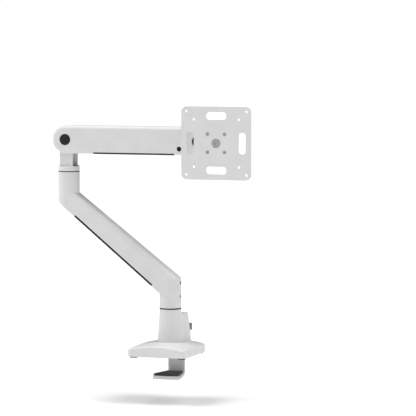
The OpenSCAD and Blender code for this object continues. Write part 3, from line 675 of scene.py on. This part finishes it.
class MONITORARM_OT_strut(Operator):
    """Finishes the bent strut"""

    bl_idname = "monitor_arm.strut"
    bl_label = "Strut"

    def execute(self, context):
        s = context.scene.arm_finish
        finish_nodes(["strut"], "white_powder_coat", s.cast_edge, 3, 30.0)
        return {"FINISHED"}


class MONITORARM_OT_strut_trim(Operator):
    """Finishes the strut's cable cover, bushes, washer and grub screws"""

    bl_idname = "monitor_arm.strut_trim"
    bl_label = "Strut Trim"

    def execute(self, context):
        s = context.scene.arm_finish
        finish_nodes(["strut_cable_cover", "strut_bush", "elbow_bush", "elbow_washer"],
                     "dark_trim_plastic", s.trim_edge)
        finish_nodes(["swivel_tension_screw", "post_retaining_screw", "elbow_tension_screw"],
                     "black_oxide_steel", s.screw_edge)
        return {"FINISHED"}


# ---------------------------------------------------------------- turret, arm and spring

class MONITORARM_OT_turret(Operator):
    """Finishes the elbow turret with its shaft and pins"""

    bl_idname = "monitor_arm.turret"
    bl_label = "Turret"

    def execute(self, context):
        s = context.scene.arm_finish
        finish_nodes(["turret"], "white_powder_coat", s.cast_edge)
        finish_nodes(["turret_shaft", "link_pin_rear", "spring_pin"], "turned_steel", s.screw_edge)
        return {"FINISHED"}


class MONITORARM_OT_arm_housing(Operator):
    """Finishes the arm housing"""

    bl_idname = "monitor_arm.arm_housing"
    bl_label = "Arm Housing"

    def execute(self, context):
        s = context.scene.arm_finish
        finish_nodes(["arm_housing", "spring_anchor"], "white_powder_coat", s.cast_edge)
        return {"FINISHED"}


class MONITORARM_OT_arm_trim(Operator):
    """Finishes the arm's cable cover, pin caps, washers, pins and screws"""

    bl_idname = "monitor_arm.arm_trim"
    bl_label = "Arm Trim"

    def execute(self, context):
        s = context.scene.arm_finish
        finish_nodes(["arm_cable_cover", "pin_caps", "pivot_washers"], "dark_trim_plastic",
                     s.trim_edge)
        finish_nodes(["lift_pins"], "turned_steel", s.screw_edge)
        finish_nodes(["anchor_screws"], "black_oxide_steel", s.screw_edge)
        return {"FINISHED"}


class MONITORARM_OT_spring(Operator):
    """Finishes the gas spring and the parallel link"""

    bl_idname = "monitor_arm.spring"
    bl_label = "Gas Spring and Link"

    def execute(self, context):
        s = context.scene.arm_finish
        finish_nodes(["spring_cylinder", "parallel_link"], "black_oxide_steel", s.trim_edge)
        finish_nodes(["spring_rod"], "spring_steel", s.trim_edge)
        return {"FINISHED"}


# ---------------------------------------------------------------- head

class MONITORARM_OT_knuckle(Operator):
    """Finishes the end knuckle with its pin and washers"""

    bl_idname = "monitor_arm.knuckle"
    bl_label = "End Knuckle"

    def execute(self, context):
        s = context.scene.arm_finish
        finish_nodes(["end_knuckle"], "white_powder_coat", s.cast_edge)
        finish_nodes(["link_pin_front"], "turned_steel", s.screw_edge)
        finish_nodes(["pan_washers"], "dark_trim_plastic", s.screw_edge)
        return {"FINISHED"}


class MONITORARM_OT_head(Operator):
    """Finishes the pan bracket, the tilt block and their bolts"""

    bl_idname = "monitor_arm.head"
    bl_label = "Tilting Head"

    def execute(self, context):
        s = context.scene.arm_finish
        finish_nodes(["pan_bracket", "tilt_block", "rotation_hub"], "white_powder_coat",
                     s.cast_edge)
        finish_nodes(["pan_bolt", "pan_nut", "tilt_bolt", "tilt_nut"], "turned_steel",
                     s.screw_edge)
        finish_nodes(["tilt_washers", "rotation_washer"], "dark_trim_plastic", s.screw_edge)
        return {"FINISHED"}


class MONITORARM_OT_plate(Operator):
    """Finishes the mounting plate and its screws"""

    bl_idname = "monitor_arm.plate"
    bl_label = "Mounting Plate"

    def execute(self, context):
        s = context.scene.arm_finish
        finish_nodes(["vesa_plate"], "white_powder_coat", 0.0005)
        finish_nodes(["rotation_bolt", "plate_screws"], "turned_steel", s.screw_edge)
        return {"FINISHED"}


# ---------------------------------------------------------------- stage

def wide_light(name, strength, softness, came_from):
    """A wide, distant light, which lights the floor evenly as far as it goes."""
    data = bpy.data.lights.new(name, "SUN")
    data.energy = strength
    data.angle = softness
    light = bpy.data.objects.new(name, data)
    light.location = 3.0 * Vector(came_from)
    light.rotation_mode = "QUATERNION"
    light.rotation_quaternion = Vector(came_from).to_track_quat("Z", "Y")
    bpy.context.scene.collection.objects.link(light)


def studio_sky(settings):
    """Soft light from all round, a little stronger from above, before a plain background."""
    world = bpy.data.worlds.new("studio_sky")
    world.use_nodes = True
    tree = world.node_tree
    shown = tree.nodes["Background"]
    shown.inputs["Strength"].default_value = settings.sky_shown
    shown.inputs["Color"].default_value = (1, 1, 1, 1)
    soft = tree.nodes.new("ShaderNodeBackground")
    soft.inputs["Strength"].default_value = settings.sky_light
    where = tree.nodes.new("ShaderNodeTexCoord")
    parts = tree.nodes.new("ShaderNodeSeparateXYZ")
    ramp = tree.nodes.new("ShaderNodeMapRange")
    ramp.inputs["From Min"].default_value = -0.2
    ramp.inputs["To Min"].default_value = 0.8
    ramp.inputs["To Max"].default_value = 1.2
    rays = tree.nodes.new("ShaderNodeLightPath")
    mix = tree.nodes.new("ShaderNodeMixShader")
    tree.links.new(where.outputs["Generated"], parts.inputs[0])
    tree.links.new(parts.outputs["Z"], ramp.inputs["Value"])
    tree.links.new(ramp.outputs["Result"], soft.inputs["Color"])
    tree.links.new(rays.outputs["Is Camera Ray"], mix.inputs["Fac"])
    tree.links.new(soft.outputs[0], mix.inputs[1])
    tree.links.new(shown.outputs[0], mix.inputs[2])
    tree.links.new(mix.outputs[0], tree.nodes["World Output"].inputs["Surface"])
    bpy.context.scene.world = world


class MONITORARM_OT_stage(Operator):
    """Adds the camera, the pale floor and soft studio light"""

    bl_idname = "monitor_arm.stage"
    bl_label = "Stage"

    def execute(self, context):
        s = context.scene.arm_stage
        data = bpy.data.cameras.new("studio_camera")
        data.sensor_width = 36.0
        data.lens = s.camera_lens
        data.clip_end = 2000.0
        camera = bpy.data.objects.new("studio_camera", data)
        camera.location = s.camera_place
        camera.rotation_euler = (math.pi / 2 - s.camera_drop, 0.0, s.camera_yaw)
        context.scene.collection.objects.link(camera)
        context.scene.camera = camera

        mesh = bpy.data.meshes.new("studio_floor")
        work = bmesh.new()
        bmesh.ops.create_grid(work, x_segments=8, y_segments=8, size=s.floor_size / 2)
        bmesh.ops.translate(work, verts=work.verts, vec=(0, 0, -s.floor_drop))
        work.to_mesh(mesh)
        work.free()
        floor = bpy.data.objects.new("studio_floor", mesh)
        floor.data.materials.append(pale_floor("pale_floor"))
        context.scene.collection.objects.link(floor)

        studio_sky(s)
        for name, strength, width, came_from in (
                ("left_top_light", s.top_strength, 36, (-0.44, -0.14, 0.88)),
                ("right_top_light", s.top_strength, 36, (0.52, -0.04, 0.85)),
                ("side_light", s.side_strength, 40, (-0.92, -0.3, 0.25)),
                ("front_light", s.front_strength, 16, (0.3, -0.95, 0.02))):
            wide_light(name, strength, math.radians(width), came_from)
        context.scene.view_settings.view_transform = "Standard"
        return {"FINISHED"}


# ---------------------------------------------------------------- panel and running

PIECES = (
    MONITORARM_OT_base_cover, MONITORARM_OT_base_metal, MONITORARM_OT_pads,
    MONITORARM_OT_column, MONITORARM_OT_rear_cover, MONITORARM_OT_cable_clip,
    MONITORARM_OT_clamp, MONITORARM_OT_strut, MONITORARM_OT_strut_trim,
    MONITORARM_OT_turret, MONITORARM_OT_arm_housing, MONITORARM_OT_arm_trim,
    MONITORARM_OT_spring, MONITORARM_OT_knuckle, MONITORARM_OT_head,
    MONITORARM_OT_plate, MONITORARM_OT_stage,
)


class MONITORARM_PT_panel(Panel):
    """Lists the arm's settings and pieces"""

    bl_idname = "MONITORARM_PT_panel"
    bl_label = "Monitor Arm"
    bl_space_type = "VIEW_3D"
    bl_region_type = "UI"
    bl_category = "Monitor Arm"

    def draw(self, context):
        layout = self.layout
        for group in (context.scene.arm_finish, context.scene.arm_shape,
                      context.scene.arm_stage):
            box = layout.box()
            for key in group.bl_rna.properties.keys():
                if key not in ("rna_type", "name"):
                    box.prop(group, key)
        for piece in PIECES:
            layout.operator(piece.bl_idname)


CLASSES = (ArmFinishSettings, ArmShapeSettings, ArmStageSettings, *PIECES,
           MONITORARM_PT_panel)


def register():
    for cls in CLASSES:
        bpy.utils.register_class(cls)
    bpy.types.Scene.arm_finish = PointerProperty(type=ArmFinishSettings)
    bpy.types.Scene.arm_shape = PointerProperty(type=ArmShapeSettings)
    bpy.types.Scene.arm_stage = PointerProperty(type=ArmStageSettings)


def unregister():
    for name in ("arm_finish", "arm_shape", "arm_stage"):
        delattr(bpy.types.Scene, name)
    for cls in reversed(CLASSES):
        bpy.utils.unregister_class(cls)


def main():
    register()
    for piece in PIECES:
        group, name = piece.bl_idname.split(".")
        getattr(getattr(bpy.ops, group), name)()
    bpy.context.view_layer.update()


if __name__ == "__main__":
    main()
